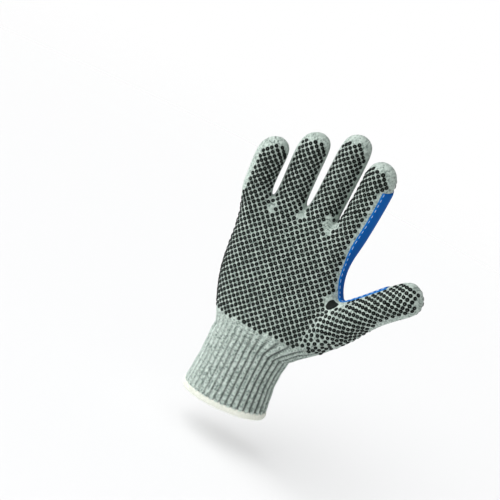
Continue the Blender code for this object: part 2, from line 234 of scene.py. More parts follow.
handShape = {
    "palmWidth": 0.100, "palmDepth": 0.050, "length": 0.200, "wristUp": 0.056,
    "swell": 1.09,  # smoothing draws the cage in by this much
    "knuckleUp": 55.5, "websUp": (57.5, 61.5, 63.0), "mouthFirstRow": 2,
    "fineness": 4, "cloth": 0.0018,
}
# Places are percentages: across of the palm's width, forward of its depth, up of the hand's length.
palmColumns = (
    "up", "left", "right", "frontLittle", "frontMid", "frontThumb",
    "backLittle", "backMid", "backThumb", "fingerSpacing",
)
palmRows = (
    (0.0, -36.2, 34.2, -47, -47.5, -47, 47, 47.5, 47, 0.0),
    (2.5, -38.0, 39.0, -47, -47.5, -49, 44, 47, 43, 0.0),
    (8.0, -43.4, 51.0, -48, -47.0, -54, 40, 46, 38, 0.1),
    (19.5, -52.6, 55.0, -50, -42.0, -54, 33, 44, 32, 0.3),
    (31.5, -56.0, 52.0, -50, -38.0, -42, 26, 42, 33, 0.6),
    (39.5, -57.4, 45.6, -50, -35.0, -34, 20, 40, 37, 0.8),
    (47.5, -60.0, 43.2, -50, -31.0, -31, 13, 38, 35, 1.0),
)
fingerColumns = ("across", "forward", "length", "radius", "tipRadius", "lean", "turn", "curl", "hook")
fingerRows = {
    "little": (-52.6, -20.0, 25.0, 12.0, 12.9, -4.6, 27, 10, 3.0),
    "ring": (-25.6, -0.5, 34.0, 12.7, 13.1, -3.4, 15, 10, 3.0),
    "middle": (2.6, 8.0, 40.8, 13.0, 13.0, 0.4, 3, 9, 1.0),
    "index": (29.9, 3.0, 35.9, 13.2, 13.5, 3.6, -13, 10, -1.6),
}
fingerStations = (0.20, 0.46, 0.73, 1.0)
thumbColumns = ("across", "forward", "up", "width", "depth", "lean", "turn", "roll", "sag")
thumbRows = (
    (52.5, -11, 20.6, 25.0, 17.5, 5, -16, 14, 6.0),
    (65.0, -17, 28.1, 18.2, 16.6, 27, -14, 14, 2.5),
    (76.4, -23, 37.1, 13.7, 14.4, 38, -12, 14, 0.5),
    (88.4, -30, 44.3, 13.6, 14.0, 43, -10, 14, 0.0),
    (99.2, -36, 49.8, 14.2, 14.0, 43, -10, 14, 0.0),
    (105.4, -40, 53.0, 11.4, 11.2, 42, -10, 14, 0.0),
)
thumbTip = (110.4, -42, 55.3)
# The print and the knit turn with the thumb: heading of each ring on the flat cloth, degrees.
thumbHeadings = (30, 15, 2, 0, 0, 0, 0)
backShift = 1000.0  # keeps the back's flat places apart from the front's, mm


def at(across, forward, up):
    return np.array((
        across * handShape["palmWidth"] / 100,
        forward * handShape["palmDepth"] / 100,
        handShape["wristUp"] + up * handShape["length"] / 100,
    ))


def named(columns, row):
    return dict(zip(columns, row))


# Eight points: front left, front, front right, right, back right, back, back left, left.
def octagon(centre, front, side, depth, width):
    d = math.sqrt(0.5)
    spots = ((-d, d), (0, 1), (d, d), (1, 0), (d, -d), (0, -1), (-d, -d), (-1, 0))
    return [centre + side * width * s + front * depth * f for s, f in spots]


# Quad cage grown by rings. Each point also has its place on the flat front and the flat back.
class Cage:

    def __init__(self):
        self.points, self.flats = [], []
        self.faces, self.backs, self.regions = [], [], []

    def add(self, point, front, back=None):
        self.points.append(point)
        self.flats.append((tuple(front), tuple(front if back is None else back)))
        return len(self.points) - 1

    def face(self, corners, back, region):
        self.faces.append(corners)
        self.backs.append(back)
        self.regions.append(region)

    def bridge(self, lower, upper, backFaces, region, skip=()):
        count = len(lower)
        for k in range(count):
            if k not in skip:
                n = (k + 1) % count
                self.face((lower[k], lower[n], upper[n], upper[k]), k in backFaces, region)

    def cap(self, ring, pole, flat, region):
        top = self.add(pole, flat)
        for k in range(0, len(ring), 2):
            self.face((top, ring[k], ring[k + 1], ring[(k + 2) % len(ring)]), k == 4, region)


ringBack = (3, 4, 5, 6)
palmBack = tuple(range(9, 19))
ringTurns = (-45, 0, 45, 90, 45, 0, -45, -90)


def fingerFrame(finger):
    lean = math.radians(finger["lean"])
    up = np.array((math.sin(lean), 0, math.cos(lean)))
    front = rotated(np.array((0, -1.0, 0)), np.array((0, 0, 1.0)), finger["turn"])
    front = unit(front - up * np.dot(front, up))
    return up, front, np.cross(up, front)


def palmRing(row, spacing):
    left, right = row["left"], row["right"]
    middle, half = (left + right) / 2, (right - left) / 2
    front, back = [], []
    for k in range(9):
        even = math.sin(math.radians(18 * (k - 4)))
        share = even + (spacing[k] - even) * row["fingerSpacing"]
        edge = math.sqrt(max(0.0, 1 - abs(share) ** 2.15))
        t = (share + 0.85) / 1.7
        weights = (2 * (t - 0.5) * (t - 1), 4 * t * (1 - t), 2 * t * (t - 0.5))
        f = sum(w * row[n] for w, n in zip(weights, ("frontLittle", "frontMid", "frontThumb")))
        b = sum(w * row[n] for w, n in zip(weights, ("backLittle", "backMid", "backThumb")))
        core = (f + b) / 2
        across = middle + half * share
        front.append(at(across, core + (f - core) * edge, row["up"]))
        back.append(at(across, core + (b - core) * edge, row["up"]))
    sideL = (row["frontLittle"] + row["backLittle"]) / 2
    sideR = (row["frontThumb"] + row["backThumb"]) / 2
    return front + [at(right, sideR, row["up"])] + back[::-1] + [at(left, sideL, row["up"])]


def knuckleRing(fingers):
    front, back = [], []
    corner = math.sqrt(0.5)
    for k, finger in enumerate(fingers):
        centre = at(finger["across"], finger["forward"], handShape["knuckleUp"])
        _, ahead, side = fingerFrame(finger)
        reach = finger["radius"] / 100 * handShape["palmWidth"] * handShape["swell"]
        if k == 0:
            front.append(centre + (ahead - side) * reach * corner)
            back.append(centre - (ahead + side) * reach * corner)
        front.append(centre + ahead * reach)
        back.append(centre - ahead * reach * 1.04)
        if k < 3:
            following = fingers[k + 1]
            other = at(following["across"], following["forward"], handShape["knuckleUp"])
            out = unit(ahead + fingerFrame(following)[1])
            front.append((centre + other) / 2 + out * reach * 0.84)
            back.append((centre + other) / 2 - out * reach * 0.88)
        else:
            front.append(centre + (ahead + side) * reach * corner)
            back.append(centre - (ahead - side) * reach * corner)
            right = centre + side * reach
    first = fingers[0]
    left = at(first["across"], first["forward"], handShape["knuckleUp"])
    left = left - fingerFrame(first)[2] * first["radius"] / 100 * handShape["palmWidth"] * handShape["swell"]
    return front + [right] + back[::-1] + [left]


def thumbRing(row):
    lean, turn = math.radians(row["lean"]), math.radians(row["turn"])
    upper = np.array((-math.sin(lean), 0, math.cos(lean)))
    front = np.array((math.sin(turn), -math.cos(turn), 0))
    front = unit(front - upper * np.dot(front, upper))
    travel = np.cross(upper, front)
    upper, front = (rotated(v, travel, -row["roll"]) for v in (upper, front))
    wide = handShape["palmWidth"] / 100
    size = wide * handShape["swell"]
    centre = at(row["across"], row["forward"], row["up"])
    points = octagon(centre, front, upper, row["depth"] * size, row["width"] * size)
    for k in (0, 1, 2, 4, 5, 6):
        points[k] = points[k] - travel * row["sag"] * wide * (1 if k in (1, 5) else 0.6)
    return points


# Turns the flat places a little at the thumb's root, so the rows bend into the thumb.
def swirled(across, up):
    angle = math.radians(18) * math.exp(-((across - 56) / 22) ** 2 - ((up - 98) / 19) ** 2)
    return across - (up - 97) * math.sin(angle), up + (across - 45) * math.sin(angle)


# Flat places of a palm ring's points: length round the ring from the plane x = 0, and height.
def palmFlats(ring):
    def side(points):
        steps = [0.0] + [float(np.linalg.norm(b - a)) for a, b in zip(points, points[1:])]
        runs = np.cumsum(steps)
        zero = np.interp(0.0, [p[0] for p in points], runs)
        return [(r - zero) / millimetre for r in runs]

    order = [ring[19]] + list(ring[:9]) + ([ring[9]] if ring[9] is not None else [])
    back = [ring[19]] + [ring[18 - k] for k in range(9)] + ([ring[9]] if ring[9] is not None else [])
    frontRun, backRun = side(order), side(back)
    flats = {}
    for k in range(9):
        flats[k] = (frontRun[k + 1], ring[k][2] / millimetre)
        flats[18 - k] = (backRun[k + 1], ring[18 - k][2] / millimetre)
    result = []
    for k in range(20):
        if k == 19:
            z = ring[19][2] / millimetre
            result.append(((frontRun[0], z), (backRun[0], z)))
        elif k == 9:
            if ring[9] is None:
                result.append(None)
                continue
            z = ring[9][2] / millimetre
            result.append((swirled(frontRun[10], z), swirled(backRun[10], z)))
        else:
            result.append((swirled(*flats[k]),) * 2)
    return result


def growFinger(cage, finger, root, region):
    up, front, side = fingerFrame(finger)
    base = at(finger["across"], finger["forward"], handShape["knuckleUp"])
    length = finger["length"] / 100 * handShape["length"]
    wide = handShape["palmWidth"] / 100
    dome = finger["tipRadius"] * wide
    curl = finger["curl"] / 100 * handShape["palmWidth"]
    hook = finger["hook"] * wide
    middleFront, middleBack = cage.flats[root[1]][0], cage.flats[root[5]][1]

    def centreAt(distance, sideways=0.0):
        share = distance / length
        return base + up * distance + front * curl * (share * share - 0.4 * share) + side * hook * sideways

    def ringAt(distance, radius, sideways=0.0):
        step = length * 0.02
        along = unit(centreAt(distance + step) - centreAt(distance - step))
        ahead = unit(front - along * np.dot(front, along))
        return octagon(centreAt(distance, sideways), ahead, np.cross(along, ahead), radius, radius)

    def flatsAt(distance, radius):
        run, reach = distance / millimetre, radius / millimetre
        return [
            tuple((m[0] + reach * math.radians(turn), m[1] + run) for m in (middleFront, middleBack))
            for turn in ringTurns
        ]

    def addRing(distance, radius, flatDistance, flatRadius, sideways):
        points = ringAt(distance, radius * handShape["swell"], sideways)
        return [cage.add(p, *flat) for p, flat in zip(points, flatsAt(flatDistance, flatRadius))]

    lower = root
    for share in fingerStations:
        radius = (finger["radius"] + (finger["tipRadius"] - finger["radius"]) * share) * wide
        distance = (length - dome) * share
        ring = addRing(distance, radius, distance, radius, 0.3 * max(0, share - 0.7))
        cage.bridge(lower, ring, ringBack, region)
        lower = ring
    distance = length - dome * 0.30
    ring = addRing(distance, dome * 0.78, distance, dome * 0.78, 0.6)
    cage.bridge(lower, ring, ringBack, region)
    last = distance / millimetre + dome * 0.8 / millimetre
    cage.cap(ring, centreAt(length + dome * 0.27, 1.0), (middleFront[0], middleFront[1] + last), region)


# Rings along the thumb, with flat places that turn until the thumb lies parallel to the fingers.
def growThumb(cage, root):
    rows = [named(thumbColumns, row) for row in thumbRows]
    centres = [at(row["across"], row["forward"], row["up"]) for row in rows] + [at(*thumbTip)]
    front, back = cage.flats[root[1]][0], cage.flats[root[5]][1]
    turns = (45, 0, -45, -90, -45, 0, 45, 90)
    lower = root
    for j, row in enumerate(rows[1:], 1):
        run = np.linalg.norm(centres[j] - centres[j - 1]) / millimetre
        heading = math.radians((thumbHeadings[j] + thumbHeadings[j - 1]) / 2)
        step = np.array((math.sin(heading), math.cos(heading))) * run
        front, back = front + step, back + step
        turned = math.radians(thumbHeadings[j])
        across = np.array((math.cos(turned), -math.sin(turned)))
        radius = (row["width"] + row["depth"]) / 2
        ring = []
        for point, turn in zip(thumbRing(row), turns):
            shift = across * radius * math.radians(turn)
            ring.append(cage.add(point, front + shift, back + shift))
        cage.bridge(lower, ring, ringBack, "thumb")
        lower = ring
    cage.cap(lower, centres[-1], front + np.array((0, 9.0)), "thumb")


def growFingers(cage, fingers, top):
    webs = []
    for k in range(3):
        a, b = top[2 * k + 2], top[16 - 2 * k]
        middle = (cage.points[a] + cage.points[b]) / 2
        middle[2] = at(0, 0, handShape["websUp"][k])[2]
        lift = (middle[2] - cage.points[a][2]) / millimetre + 6
        front, back = cage.flats[a][0], cage.flats[b][1]
        webs.append(cage.add(middle, (front[0], front[1] + lift), (back[0], back[1] + lift)))
    for k, finger in enumerate(fingers):
        left = webs[k - 1] if k else top[19]
        right = webs[k] if k < 3 else top[9]
        f, b = 2 * k, 18 - 2 * k
        root = [top[f], top[f + 1], top[f + 2], right, top[b - 2], top[b - 1], top[b], left]
        growFinger(cage, finger, root, list(fingerRows)[k])


def handCage():
    cage = Cage()
    fingers = [named(fingerColumns, row) for row in fingerRows.values()]
    knuckle = knuckleRing(fingers)
    first, last = knuckle[19][0], knuckle[9][0]
    spacing = [(2 * p[0] - first - last) / (last - first) for p in knuckle[:9]]
    rows = [palmRing(named(palmColumns, row), spacing) for row in palmRows] + [knuckle]
    mouth = thumbRing(named(thumbColumns, thumbRows[0]))
    low, mid, high = (handShape["mouthFirstRow"] + k for k in range(3))
    rows[low][8], rows[mid][8], rows[high][8], rows[high][9] = mouth[0], mouth[1], mouth[2], mouth[3]
    rows[high][10], rows[mid][10], rows[low][10], rows[low][9] = mouth[4], mouth[5], mouth[6], mouth[7]
    rows[mid][9] = None
    numbers = []
    for row in rows:
        flats = palmFlats(row)
        numbers.append([None if p is None else cage.add(p, *flats[j]) for j, p in enumerate(row)])
    for k in range(len(rows) - 1):
        cage.bridge(numbers[k], numbers[k + 1], palmBack, "palm", (8, 9) if k in (low, mid) else ())
    growThumb(cage, [
        numbers[low][8], numbers[mid][8], numbers[high][8], numbers[high][9],
        numbers[high][10], numbers[mid][10], numbers[low][10], numbers[low][9],
    ])
    growFingers(cage, fingers, numbers[-1])
    return cage


cuffShape = {
    "length": 0.056, "width": 0.0705, "depth": 0.0485, "thickness": 0.0018,
    "flare": 0.0016, "thumbFlare": 0.0022, "wristRound": 0.0024,
    "ribs": 38, "ribDepth": 0.0010, "grooveWidth": 0.15, "ribEnd": 0.076,
    "hemHeight": 0.0046, "hemRise": 0.0070, "hemDip": 0.0016,
    "around": 13, "rings": 64, "innerRings": 10,
}


# Centre across, half width and half depth of the cuff at a height.
def cuffAt(up):
    share = up / cuffShape["length"]
    drift = (palmRows[0][1] + palmRows[0][2]) / 200 * handShape["palmWidth"] * share
    waist = 0.35 * math.sin(math.pi * min(1.0, max(0.0, share)))
    flare = cuffShape["flare"] * (max(0.0, 1 - share) ** 1.6 - waist)
    return drift, cuffShape["width"] / 2 + flare, cuffShape["depth"] / 2 + flare


def onCuff(angle, up, inset):
    drift, wide, deep = cuffAt(up)
    wide += cuffShape["thumbFlare"] * max(0.0, math.sin(angle)) * min(1.0, max(0.0, 1 - up / 0.030))
    return np.array((drift + (wide - inset) * math.sin(angle), -(deep - inset) * math.cos(angle), up))


def outFromCuff(angle):
    return unit(np.array((math.sin(angle) / cuffShape["width"], -math.cos(angle) / cuffShape["depth"], 0)))


def hemUp(angle):
    return cuffShape["hemRise"] / 2 * math.sin(angle) - cuffShape["hemDip"] * math.cos(angle)


fineAngles = np.linspace(0, 2 * math.pi, 2881)
fineSpots = np.array([onCuff(a, cuffShape["length"] / 2, 0)[:2] for a in fineAngles])
fineRuns = np.concatenate([[0], np.cumsum(np.linalg.norm(np.diff(fineSpots, axis=0), axis=1))])


def evenAngles(count):
    return np.interp(np.arange(count) / count * fineRuns[-1], fineRuns, fineAngles)


# Which rib, and where on it, from a place round the wrist.
def ribShare(x, y):
    drift, wide, deep = cuffAt(cuffShape["length"])
    angle = np.arctan2((x - drift) / wide, -y / deep) % (2 * math.pi)
    return np.interp(angle, fineAngles, fineRuns) / fineRuns[-1] * cuffShape["ribs"]


# The ribs are pulled flat on the little-finger side and deep on the thumb side.
def ribSide(share):
    return 0.95 + 0.60 * np.sin(share / cuffShape["ribs"] * 2 * math.pi)


# Depth below the rib's top: a narrow groove and a slightly rounded rib.
def ribDent(share):
    away = np.abs((share + 0.5) % 1 - 0.5)
    groove = np.exp(-(away / cuffShape["grooveWidth"]) ** 2)
    return (cuffShape["ribDepth"] * groove + 0.00012 * (away / 0.5 - 1) ** 2) * ribSide(share)


# Rounds the corner between cuff and thumb side, where the cloth swings out.
def flaredOut(points):
    points = np.asarray(points, dtype=float)
    up = points[:, 2]
    rise = np.clip((up - 0.040) / 0.016, 0, 1) ** 2 * (1 - smoothStep(0.056, 0.072, up))
    side = np.clip(points[:, 0] / (cuffShape["width"] / 2), 0, 1) ** 2
    moved = points.copy()
    moved[:, 0] += cuffShape["wristRound"] * rise * side
    return moved


print("knit hand")


def flatCorners(cage):
    corners = []
    for face, back in zip(cage.faces, cage.backs):
        for corner in face:
            across, along = cage.flats[corner][1 if back else 0]
            corners.append((across + (backShift if back else 0.0), along))
    return corners


# The cage, rounded, with its flat places and the name of each face's region.
def smoothHand(cage, level):
    mesh = bpy.data.meshes.new("handCage")
    mesh.from_pydata([tuple(p) for p in cage.points], [], cage.faces)
    setCornerMap(mesh, "flat", flatCorners(cage))
    names = ["palm", "thumb"] + list(fingerRows)
    region = mesh.attributes.new("region", "INT", "FACE")
    region.data.foreach_set("value", [names.index(r) for r in cage.regions])
    outward(mesh)
    thing = bpy.data.objects.new("handCage", mesh)
    scene.collection.objects.link(thing)
    smooth = thing.modifiers.new("smooth", "SUBSURF")
    smooth.levels = smooth.render_levels = level
    smooth.uv_smooth = "PRESERVE_BOUNDARIES"
    graph = bpy.context.evaluated_depsgraph_get()
    made = bpy.data.meshes.new_from_object(thing.evaluated_get(graph))
    bpy.data.objects.remove(thing, do_unlink=True)
    return made, names


def meshArrays(mesh):
    points = np.empty(len(mesh.vertices) * 3)
    mesh.vertices.foreach_get("co", points)
    corners = np.empty(len(mesh.loops), dtype=int)
    mesh.loops.foreach_get("vertex_index", corners)
    return points.reshape(-1, 3), corners.reshape(-1, 4)


def vertexNormals(mesh):
    normals = np.empty(len(mesh.vertices) * 3)
    mesh.vertices.foreach_get("normal", normals)
    return normals.reshape(-1, 3)


# Soft creases at the thumb's root: place, direction of the crease, length, width and depth in mm.
folds = (
    ((62, -24, 88), (0.75, 0.0, 0.66), 15, 2.6, 0.55),
    ((72, -26, 97), (0.70, 0.0, 0.71), 13, 2.4, 0.50),
    ((54, -24, 79), (0.80, 0.0, 0.60), 13, 2.8, 0.45),
    ((44, -20, 150), (0.25, 0.0, -0.97), 10, 2.4, 0.25),
    ((63, -16, 86), (0.75, 0.0, 0.66), 6, 7.0, 1.7),
    ((73, -18, 97), (0.75, 0.0, 0.66), 4, 6.0, -0.7),
    ((83, -20, 108), (0.70, 0.0, 0.71), 7, 7.0, 1.8),
)


# Ribs that bend with the cloth and fade into the hand above the wrist, and a few soft creases.
def shapeCloth(points, normals, ribs=1.0):
    thumbSide = np.clip(points[:, 0] / 0.050, 0, 1)
    above = smoothStep(cuffShape["length"], cuffShape["ribEnd"] + 0.002, points[:, 2])
    widening = 1 + (0.52 * thumbSide + 0.10) * above
    share = ribShare(points[:, 0] / widening, points[:, 1])
    reach = 0.009 * thumbSide
    fade = 1 - smoothStep(cuffShape["length"] + 0.004 + reach, cuffShape["ribEnd"] + reach, points[:, 2])
    lift = -ribDent(share) * fade * ribs
    for place, direction, length, width, depth in folds:
        away = points / millimetre - np.array(place)
        direction = unit(np.array(direction))
        along = away @ direction
        aside = np.linalg.norm(away - along[:, None] * direction, axis=1)
        lift -= depth * millimetre * np.exp(-(along / length) ** 2 - (aside / width) ** 2)
    return flaredOut(points + normals * lift[:, None]), share, fade


cage = handCage()
handMesh, regionNames = smoothHand(cage, handShape["fineness"])
basePoints, quads = meshArrays(handMesh)
baseNormals = vertexNormals(handMesh)
if np.mean(baseNormals[:, 1] * basePoints[:, 1]) < 0:
    handMesh.flip_normals()
    basePoints, quads = meshArrays(handMesh)
    baseNormals = vertexNormals(handMesh)
handPoints, handRibs, handFade = shapeCloth(basePoints, baseNormals)
handMesh.vertices.foreach_set("co", handPoints.ravel())
handMesh.update()
handNormals = vertexNormals(handMesh)
flat = np.empty(len(handMesh.loops) * 2)
handMesh.uv_layers["flat"].data.foreach_get("uv", flat)
flat = flat.reshape(-1, 4, 2)
regionOf = np.empty(len(handMesh.polygons), dtype=int)
handMesh.attributes["region"].data.foreach_get("value", regionOf)


# Rib share and strength of the painted groove shade at each corner, without a jump inside the face where the
# count starts again.
def ribCorners(share, fade, quads):
    corner = share[quads]
    wrap = (corner.max(axis=1) - corner.min(axis=1)) > cuffShape["ribs"] / 2
    corner = np.where(wrap[:, None] & (corner < cuffShape["ribs"] / 2), corner + cuffShape["ribs"], corner)
    return np.stack([corner, fade[quads]], axis=-1)


# The painted groove shade is made stronger on the thumb side, where the ribs are deeper and turn away from
# the light.
setCornerMap(handMesh, "rib", ribCorners(handRibs, handFade * ribSide(handRibs) * 0.8, quads))
handMesh.attributes.remove(handMesh.attributes["region"])
handMesh.shade_smooth()
handMesh.materials.clear()
handMesh.materials.append(knitMaterial("handKnit", "flat", ribbed=True))
knitHand = bpy.data.objects.new("knitHand", handMesh)
scene.collection.objects.link(knitHand)
finishPiece(knitHand, "hand_knit", "knit_hand")
surface = BVHTree.FromPolygons([tuple(p) for p in handPoints], [tuple(q) for q in quads])


def nearest(point):
    spot, normal = surface.find_nearest(Vector(point))[:2]
    return np.array(spot), np.array(normal)


# Inside of the cloth, seen through the cuff.
def handLining():
    mesh, _ = smoothHand(cage, 2)
    points, _ = meshArrays(mesh)
    normals = vertexNormals(mesh)
    if np.mean(normals[:, 1] * points[:, 1]) < 0:
        normals = -normals
    else:
        mesh.flip_normals()
    moved = shapeCloth(points, normals, 0.3)[0] - normals * handShape["cloth"]
    mesh.vertices.foreach_set("co", moved.ravel())
    mesh.attributes.remove(mesh.attributes["region"])
    mesh.shade_smooth()
    mesh.materials.clear()
    mesh.materials.append(knitMaterial("liningKnit", "flat"))
    thing = bpy.data.objects.new("handLining", mesh)
    scene.collection.objects.link(thing)
    return finishPiece(thing, "hand_knit")


handLining()


print("rib cuff")


# Tube with raised ribs. Its top ring meets the hand's lower edge.
def ribCuff():
    around = cuffShape["ribs"] * cuffShape["around"]
    angles = evenAngles(around)
    shares = np.arange(around) / around * cuffShape["ribs"]
    rim = basePoints[basePoints[:, 2] < cuffShape["length"] + 0.0002]
    rimAngle = ribShare(rim[:, 0], rim[:, 1])
    order = np.argsort(rimAngle)
    rimAngle, rim = rimAngle[order], rim[order]
    rimX = np.interp(shares, rimAngle, rim[:, 0], period=cuffShape["ribs"])
    rimY = np.interp(shares, rimAngle, rim[:, 1], period=cuffShape["ribs"])
    dent = ribDent(shares)
    rings, innerRings = cuffShape["rings"], cuffShape["innerRings"]
    points, heights = [], []

    def ring(share, inset, dentShare):
        meet = smoothStep(0.80, 1.0, share)
        wave = 0.00018 * math.sin(share * 9.0) + 0.00012 * math.sin(share * 23.0)
        for k, angle in enumerate(angles):
            low = hemUp(angle) + cuffShape["hemHeight"] - 0.0008
            up = low + (cuffShape["length"] + 0.0002 - low) * share
            place = onCuff(angle, up, 0.0)
            place[0] += (rimX[k] - place[0]) * meet
            place[1] += (rimY[k] - place[1]) * meet
            points.append(place - outFromCuff(angle) * (inset + dent[k] * dentShare - wave))
            heights.append(up)

    for r in range(rings):
        ring(r / (rings - 1), 0.0, 1.0)
    for r in range(innerRings):
        ring(1 - r / (innerRings - 1), cuffShape["thickness"], 0.6)
    count = rings + innerRings
    faces, rib, knit = [], [], []
    pitch = fineRuns[-1] / millimetre / around
    for r in range(count):
        s = (r + 1) % count
        for k in range(around):
            n = (k + 1) % around
            faces.append((r * around + k, r * around + n, s * around + n, s * around + k))
            for row, column in ((r, k), (r, k + 1), (s, k + 1), (s, k)):
                share = column / around * cuffShape["ribs"]
                # Strength of the painted groove shade, stronger on the thumb side where the ribs are deeper
                # and turn away from the light.
                rib.append((share, ribSide(share) * 0.8))
                knit.append((column * pitch, heights[row * around + column % around] / millimetre))
    thing = newObject("ribCuff", flaredOut(points), faces, knitMaterial("cuffKnit", "flat", ribbed=True))
    setCornerMap(thing.data, "flat", knit)
    setCornerMap(thing.data, "rib", rib)
    outward(thing.data)
    return finishPiece(thing, "cuff_knit", "rib_cuff")


ribCuff()


print("hem")
hemLook = {
    "yarn": (0.80, 0.80, 0.74), "shaded": (0.78, 0.80, 0.72), "lit": (0.95, 0.96, 0.89),
    "loops": 128, "turnPoints": 14, "threadRadius": 0.00050,
    "half": 0.00160, "tall": 0.0027, "middle": 0.00115, "coreAround": 190, "coreSides": 10,
}


# Points and faces of a round thread along a line of points.
def tubeAlong(points, radii, sides=6, closed=False):
    points = np.asarray(points)
    ahead = np.roll(points, -1, axis=0) - np.roll(points, 1, axis=0)
    if not closed:
        ahead[0], ahead[-1] = points[1] - points[0], points[-1] - points[-2]
    made, faces = [], []
    lift = None
    for place, along, radius in zip(points, ahead, radii):
        along = unit(along)
        if lift is None:
            lift = unit(np.cross(along, np.array((0.3, 0.5, 0.81))))
        lift = unit(lift - along * np.dot(lift, along))
        side = np.cross(along, lift)
        for k in range(sides):
            a = 2 * math.pi * k / sides
            made.append(place + (lift * math.cos(a) + side * math.sin(a)) * radius)
    count = len(points)
    for r in range(count if closed else count - 1):
        s = (r + 1) % count
        for k in range(sides):
            n = (k + 1) % sides
            faces.append((r * sides + k, r * sides + n, s * sides + n, s * sides + k))
    if not closed:
        faces.append(tuple(range(sides))[::-1])
        faces.append(tuple((count - 1) * sides + k for k in range(sides)))
    return made, faces


def onHem(angle, out, rise):
    spot = onCuff(angle, hemUp(angle) + cuffShape["hemHeight"] / 2 + rise, hemLook["middle"])
    return spot + outFromCuff(angle) * out


# Cloth core with an overlock thread wound round it.
def hemEdge():
    around, section = hemLook["coreAround"], hemLook["coreSides"]
    points, faces = [], []
    for angle in evenAngles(around):
        for j in range(section):
            a = 2 * math.pi * j / section
            out, rise = hemLook["half"] * 0.82 * math.cos(a), hemLook["tall"] * 0.94 * math.sin(a)
            points.append(onHem(angle, out, rise))
    for k in range(around):
        for j in range(section):
            n, m = (k + 1) % around, (j + 1) % section
            faces.append((k * section + j, n * section + j, n * section + m, k * section + m))
    base = len(points)
    turns, perTurn = hemLook["loops"], hemLook["turnPoints"]
    total = turns * perTurn
    allAngles = evenAngles(total)
    jitter = random.normal(0, 1, (turns, 3))
    line = []
    for k in range(total):
        turn = k // perTurn
        a = 2 * math.pi * (k % perTurn) / perTurn
        swing = 1 + 0.10 * jitter[turn, 0]
        sway = 0.6 * math.sin(a) / cuffShape["ribs"] * 0.16
        line.append(onHem(
            allAngles[k] + sway, hemLook["half"] * swing * math.cos(a),
            hemLook["tall"] * (1 + 0.09 * jitter[turn, 1]) * math.sin(a),
        ))
    made, more = tubeAlong(line, [hemLook["threadRadius"]] * total, 6, closed=True)
    points += made
    faces += [tuple(base + c for c in face) for face in more]
    nodes = plainMaterial("hemYarn", hemLook["yarn"], 0.85, 0.2)
    place = nodes.add("TexCoord").outputs["Object"]
    shade = nodes.noise(place, 900.0, 2.0)
    colour = nodes.mix(nodes.ramp(shade, 0.35, 0.65), hemLook["shaded"], hemLook["lit"])
    nodes.put(nodes.shader.inputs["Base Color"], colour)
    nodes.put(nodes.shader.inputs["Normal"], nodes.bump(shade, 0.0002, 0.5))
    thing = newObject("hemEdge", points, faces, nodes.material)
    outward(thing.data)
    return finishPiece(thing, "hem_yarn", "hem_edge")


hemEdge()


print("crotch strip")
stripLook = {
    "top": 0.74, "end": 0.15, "width": 0.0170, "thickness": 0.0007, "rows": 150, "halfColumns": 9,
    "fingerSide": 0.013, "crotchBack": 0.0022, "slant": 0.0012,
    # edge is a painted highlight along the tape's rolled edges.
    "blue": (0.002, 0.105, 0.40), "edge": (0.004, 0.16, 0.52), "weave": (0.002, 0.075, 0.32),
    "stitchLength": 0.0028, "stitchPitch": 0.0049, "stitchInset": 0.0012, "threadRadius": 0.00018,
    "thread": (0.58, 0.72, 0.86),
}


def smoothPath(knots, count):
    knots = [2 * knots[0] - knots[1]] + knots + [2 * knots[-1] - knots[-2]]
    fine = []
    for a, b, c, d in zip(knots, knots[1:], knots[2:], knots[3:]):
        for t in np.arange(16) / 16:
            bend = (2 * a - 5 * b + 4 * c - d) * t * t + (3 * b - a - 3 * c + d) * t**3
            fine.append(0.5 * (2 * b + (c - a) * t + bend))
    fine = np.array(fine + [knots[-2]])
    runs = np.concatenate([[0], np.cumsum(np.linalg.norm(np.diff(fine, axis=0), axis=1))])
    even = np.linspace(0, runs[-1], count)
    return [np.array([np.interp(e, runs, fine[:, j]) for j in range(3)]) for e in even]


def stripKnots():
    finger = named(fingerColumns, fingerRows["index"])
    up, front, side = fingerFrame(finger)
    root = at(finger["across"], finger["forward"], handShape["knuckleUp"]) + side * stripLook["fingerSide"]
    length = finger["length"] / 100 * handShape["length"]
    curl = finger["curl"] / 100 * handShape["palmWidth"]
    knots = []
    for share in (stripLook["top"], 0.5, 0.25, 0.0):
        knots.append(root + up * length * share + front * curl * (share * share - 0.4 * share))
    for row in (palmRows[6], palmRows[5]):
        row = named(palmColumns, row)
        knot = at(row["right"], (row["frontThumb"] + row["backThumb"]) / 2, row["up"])
        knots.append(knot + np.array((0, stripLook["crotchBack"], 0)))
    rings = [thumbRing(named(thumbColumns, row))[3] for row in thumbRows[:5]]
    knots.append(rings[0] + np.array((0, 0.005, 0.006)))
    return knots + rings[1:4] + [rings[3] + (rings[4] - rings[3]) * stripLook["end"]]


# Rows of points on the cloth, walked out sideways from the strip's middle and evened.
def stripGrid():
    rows = stripLook["rows"]
    steps, stride = stripLook["halfColumns"], stripLook["width"] / 2 / stripLook["halfColumns"]
    middles = [nearest(p) for p in smoothPath(stripKnots(), rows)]
    grid = []
    for k, (spot, normal) in enumerate(middles):
        along = middles[min(k + 2, rows - 1)][0] - middles[max(k - 2, 0)][0]
        row = {0: spot}
        for way in (-1, 1):
            here, lift = spot, normal
            for step in range(1, steps + 1):
                across = unit(np.cross(along, lift))
                here, lift = nearest(here + across * stride * way)
                row[way * step] = here
        grid.append([row[j] for j in range(-steps, steps + 1)])
    grid = np.array(grid)
    for _ in range(60):
        grid[1:-1] = (grid[:-2] + 2 * grid[1:-1] + grid[2:]) / 4
    # The end on the index finger is cut a little askew.
    slant = np.linspace(1, -1, 2 * steps + 1) * stripLook["slant"]
    grid[0] += unit(grid[0, steps] - grid[3, steps]) * slant[:, None]
    return grid


